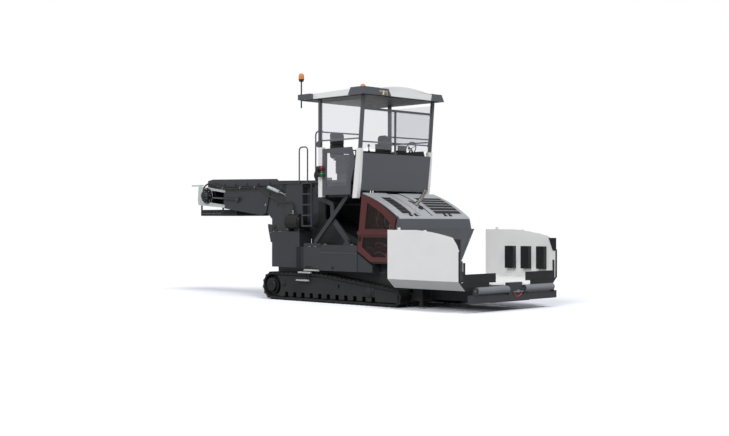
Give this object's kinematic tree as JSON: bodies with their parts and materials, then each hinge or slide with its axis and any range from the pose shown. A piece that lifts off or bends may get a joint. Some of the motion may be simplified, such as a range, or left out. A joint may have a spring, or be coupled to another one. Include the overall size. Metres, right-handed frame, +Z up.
{
  "type": "tracked mobile feeder",
  "caption": "Tracked mobile feeder with a folding receiving hopper, a conveyor to a rear discharge boom, and a raised open operator's platform.",
  "frame": {"origin": "on the ground, under the middle of the machine's overall box", "axes": "+X towards the receiving hopper, +Y to the machine's left, +Z up"},
  "size_m": [10.65, 3.44, 5.5001],
  "materials": {
    "body_grey": "satin slate grey enamel",
    "hood_grey": "satin light grey enamel",
    "white_paint": "satin white enamel",
    "maroon_paint": "satin maroon enamel",
    "track_steel": "dark worn steel",
    "black_rubber": "moulded black rubber",
    "black_paint": "satin black enamel",
    "bare_steel": "ground steel",
    "rod_chrome": "polished chrome",
    "clear_glass": "clear safety glass",
    "amber_lens": "clear amber lens",
    "signal_lens": "red lens",
    "dark_plastic": "grained black plastic",
    "seat_fabric": "dark woven seat cover"
  },
  "bodies": {
    "chassis": {"belt_lower": "black_rubber", "bulkhead": "black_paint", "chassis_frame": "body_grey", "conveyor_frame": "body_grey", "deck": "body_grey", "deck_rails": "body_grey", "engine_bay": "body_grey", "engine_block": "track_steel", "exhaust": "bare_steel", "hopper_floor": "body_grey", "ladders": "body_grey", "rear_boxes": "body_grey", "side_boxes": "body_grey", "steps": "bare_steel", "track_frame_left": "body_grey", "track_frame_right": "body_grey", "track_left": "track_steel", "track_right": "track_steel", "track_wheels_left": "track_steel", "track_wheels_right": "track_steel"},
    "wing_right": {"wing_right": "white_paint", "wing_frame_right": "body_grey", "apron_right": "black_rubber"},
    "wing_left": {"wing_left": "white_paint", "wing_frame_left": "body_grey", "apron_left": "black_rubber"},
    "push_beam": {"push_beam": "body_grey"},
    "push_roller_right": {"push_roller_right": "body_grey"},
    "push_roller_left": {"push_roller_left": "body_grey"},
    "hood_lid_right": {"hood_lid_right": "hood_grey"},
    "hood_lid_left": {"hood_lid_left": "hood_grey"},
    "door_right": {"door_right": "maroon_paint", "door_mesh_right": "track_steel"},
    "door_left": {"door_left": "maroon_paint", "door_mesh_left": "track_steel"},
    "platform": {"platform_floor": "body_grey", "side_panels": "body_grey", "corner_posts": "white_paint", "front_panel": "body_grey", "roof_posts": "white_paint", "windows": "clear_glass", "platform_rails": "body_grey", "roof": "white_paint", "roof_pods": "body_grey", "beacons": "amber_lens", "seat_right": "seat_fabric", "seat_left": "seat_fabric", "consoles": "dark_plastic", "signal_lamps": "signal_lens"},
    "scissor_arms_a": {"scissor_arms_a": "body_grey"},
    "scissor_arms_b": {"scissor_arms_b": "body_grey"},
    "boom": {"boom_frame": "body_grey", "belt_upper": "black_rubber", "drive_drum": "black_paint", "boom_forks": "hood_grey", "boom_tray": "hood_grey"},
    "boom_barrels": {"boom_barrels": "body_grey"},
    "boom_rods": {"boom_rods": "rod_chrome"}
  },
  "joints": [
    {"name": "wing_right", "type": "hinge", "parent": "chassis", "child": "wing_right", "pos_m": [4.1, -0.7, 0.47], "axis": [-1, 0, 0], "range_deg": [0, 45]},
    {"name": "wing_left", "type": "hinge", "parent": "chassis", "child": "wing_left", "pos_m": [4.1, 0.7, 0.47], "axis": [1, 0, 0], "range_deg": [0, 45]},
    {"name": "push_beam", "type": "hinge", "parent": "chassis", "child": "push_beam", "pos_m": [5.195, 0, 0.3], "axis": [0, 0, 1], "range_deg": [-2, 2]},
    {"name": "push_roller_right", "type": "hinge", "parent": "push_beam", "child": "push_roller_right", "pos_m": [5.245, -0.81, 0.47], "axis": [0, 1, 0], "continuous": true},
    {"name": "push_roller_left", "type": "hinge", "parent": "push_beam", "child": "push_roller_left", "pos_m": [5.245, 0.81, 0.47], "axis": [0, 1, 0], "continuous": true},
    {"name": "hood_lid_right", "type": "hinge", "parent": "chassis", "child": "hood_lid_right", "pos_m": [2.893, 0, 2.052], "axis": [0, 1, 0], "range_deg": [0, 60]},
    {"name": "hood_lid_left", "type": "hinge", "parent": "chassis", "child": "hood_lid_left", "pos_m": [2.893, 0, 2.052], "axis": [0, 1, 0], "range_deg": [0, 60]},
    {"name": "door_right", "type": "hinge", "parent": "chassis", "child": "door_right", "pos_m": [2.892, -1.24, 1.5], "axis": [0, 0, 1], "range_deg": [0, 90]},
    {"name": "door_left", "type": "hinge", "parent": "chassis", "child": "door_left", "pos_m": [2.892, 1.24, 1.5], "axis": [0, 0, -1], "range_deg": [0, 90]},
    {"name": "platform_slide", "type": "slide", "parent": "chassis", "child": "platform", "axis": [0, 0, 1], "range_m": [-0.5, 0]},
    {"name": "scissor_arms_a", "type": "hinge", "parent": "chassis", "child": "scissor_arms_a", "pos_m": [1.15, 0, 1.45], "axis": [0, 1, 0], "range_deg": [-27.5, 0]},
    {"name": "scissor_arms_b", "type": "hinge", "parent": "scissor_arms_a", "child": "scissor_arms_b", "pos_m": [0.61934, 0, 1.98], "axis": [0, 1, 0], "range_deg": [0, 55]},
    {"name": "boom", "type": "hinge", "parent": "chassis", "child": "boom", "pos_m": [-2.192, 0, 2.35], "axis": [0, 1, 0], "range_deg": [-8, 5]},
    {"name": "boom_barrels", "type": "hinge", "parent": "boom", "child": "boom_barrels", "pos_m": [-2.02, 0, 2.8], "axis": [0, 1, 0], "range_deg": [-10, 10]},
    {"name": "boom_rods", "type": "slide", "parent": "boom_barrels", "child": "boom_rods", "axis": [0.9567, 0, -0.2912], "range_m": [-0.08, 0.08]}
  ],
  "couplings": [
    {"joint": "scissor_arms_a", "follows": "platform_slide", "rad_per_m": 0.9423},
    {"joint": "scissor_arms_b", "follows": "platform_slide", "rad_per_m": -1.8846},
    {"joint": "boom_barrels", "follows": "boom", "ratio": -1.0308},
    {"joint": "boom_rods", "follows": "boom", "m_per_rad": -0.4802}
  ]
}
